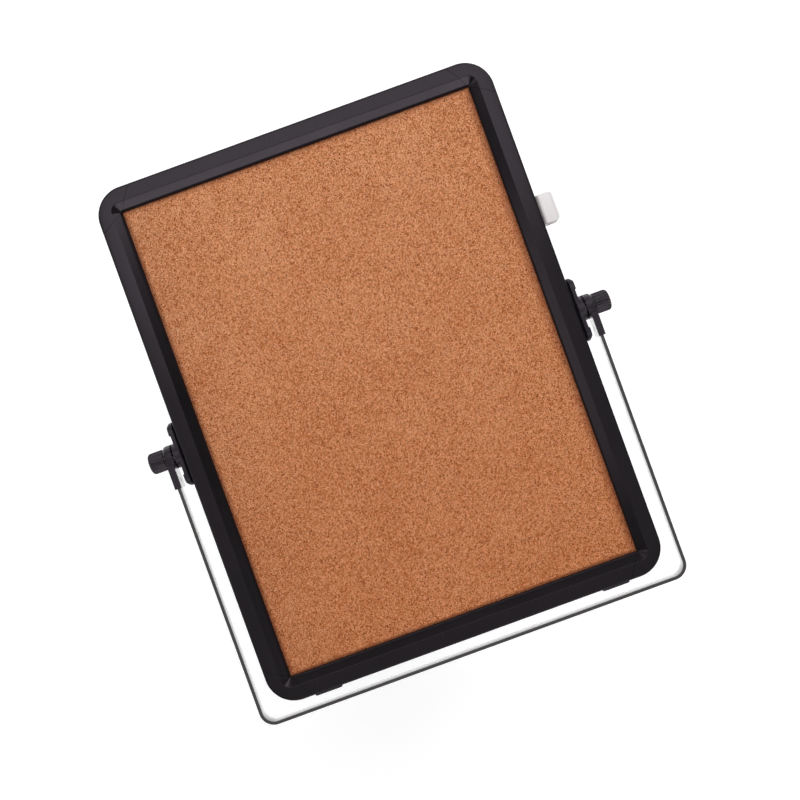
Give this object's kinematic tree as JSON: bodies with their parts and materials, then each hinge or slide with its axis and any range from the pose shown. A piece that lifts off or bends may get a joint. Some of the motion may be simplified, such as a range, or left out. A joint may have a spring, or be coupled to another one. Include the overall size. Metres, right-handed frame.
{
  "type": "desktop cork bulletin board with swinging stand",
  "caption": "Framed two-sided desk board, cork in front and dry-erase steel behind, with a U-shaped strip stand that swings on knob-clamped toothed pivots.",
  "frame": {"origin": "middle of the bounding box's underside, under the middle of the board as it lies on its back", "axes": "+X to the board's right seen from the cork, +Y to the top of the board, +Z out of the cork"},
  "size_m": [0.2708, 0.3082, 0.016],
  "materials": {
    "frame_plastic": "satin",
    "hinge_plastic": "satin",
    "knob_plastic": "matte",
    "cork": "matte",
    "core_fibre": "matte",
    "white_steel": "gloss",
    "dark_steel": "satin",
    "bare_steel": "satin",
    "brass": "satin",
    "nylon": "satin",
    "foot_rubber": "matte",
    "foam": "matte",
    "clear_plastic": "satin"
  },
  "bodies": {
    "board": {"rail_top": "frame_plastic", "rail_bottom": "frame_plastic", "rail_left": "frame_plastic", "rail_right": "frame_plastic", "corner_top_right": "frame_plastic", "corner_top_left": "frame_plastic", "corner_bottom_left": "frame_plastic", "corner_bottom_right": "frame_plastic", "cork_sheet": "cork", "core_board": "core_fibre", "dry_erase_sheet": "white_steel", "base_plate_left": "hinge_plastic", "base_plate_right": "hinge_plastic", "base_screw_upper_left": "bare_steel", "base_screw_lower_left": "bare_steel", "base_screw_upper_right": "bare_steel", "base_screw_lower_right": "bare_steel", "nut_insert_left": "brass", "nut_insert_right": "brass", "foot_pad_left": "foot_rubber", "foot_pad_right": "foot_rubber", "pen_loop": "clear_plastic", "pen_loop_pad": "foam"},
    "stand": {"stand_strip": "dark_steel", "arm_socket_left": "hinge_plastic", "arm_socket_right": "hinge_plastic", "socket_pin_left": "bare_steel", "socket_pin_right": "bare_steel"},
    "left_washer": {"washer_left": "nylon"},
    "left_knob": {"knob_left": "knob_plastic", "stud_left": "bare_steel"},
    "right_washer": {"washer_right": "nylon"},
    "right_knob": {"knob_right": "knob_plastic", "stud_right": "bare_steel"}
  },
  "joints": [
    {"name": "stand_swing", "type": "hinge", "parent": "board", "child": "stand", "pos_m": [0, 0.0045, 0.008], "axis": [1, 0, 0], "range_deg": [-165, 165]},
    {"name": "left_knob_travel", "type": "slide", "parent": "board", "child": "left_washer", "axis": [-1, 0, 0], "range_m": [0, 0.0014]},
    {"name": "left_knob_turn", "type": "hinge", "parent": "left_washer", "child": "left_knob", "pos_m": [-0.131, 0.0045, 0.008], "axis": [-1, 0, 0], "range_deg": [0, 720]},
    {"name": "right_knob_travel", "type": "slide", "parent": "board", "child": "right_washer", "axis": [1, 0, 0], "range_m": [0, 0.0014]},
    {"name": "right_knob_turn", "type": "hinge", "parent": "right_washer", "child": "right_knob", "pos_m": [0.131, 0.0045, 0.008], "axis": [1, 0, 0], "range_deg": [0, 720]}
  ],
  "couplings": [
    {"joint": "left_knob_turn", "follows": "left_knob_travel", "rad_per_m": 8976},
    {"joint": "right_knob_turn", "follows": "right_knob_travel", "rad_per_m": 8976}
  ]
}
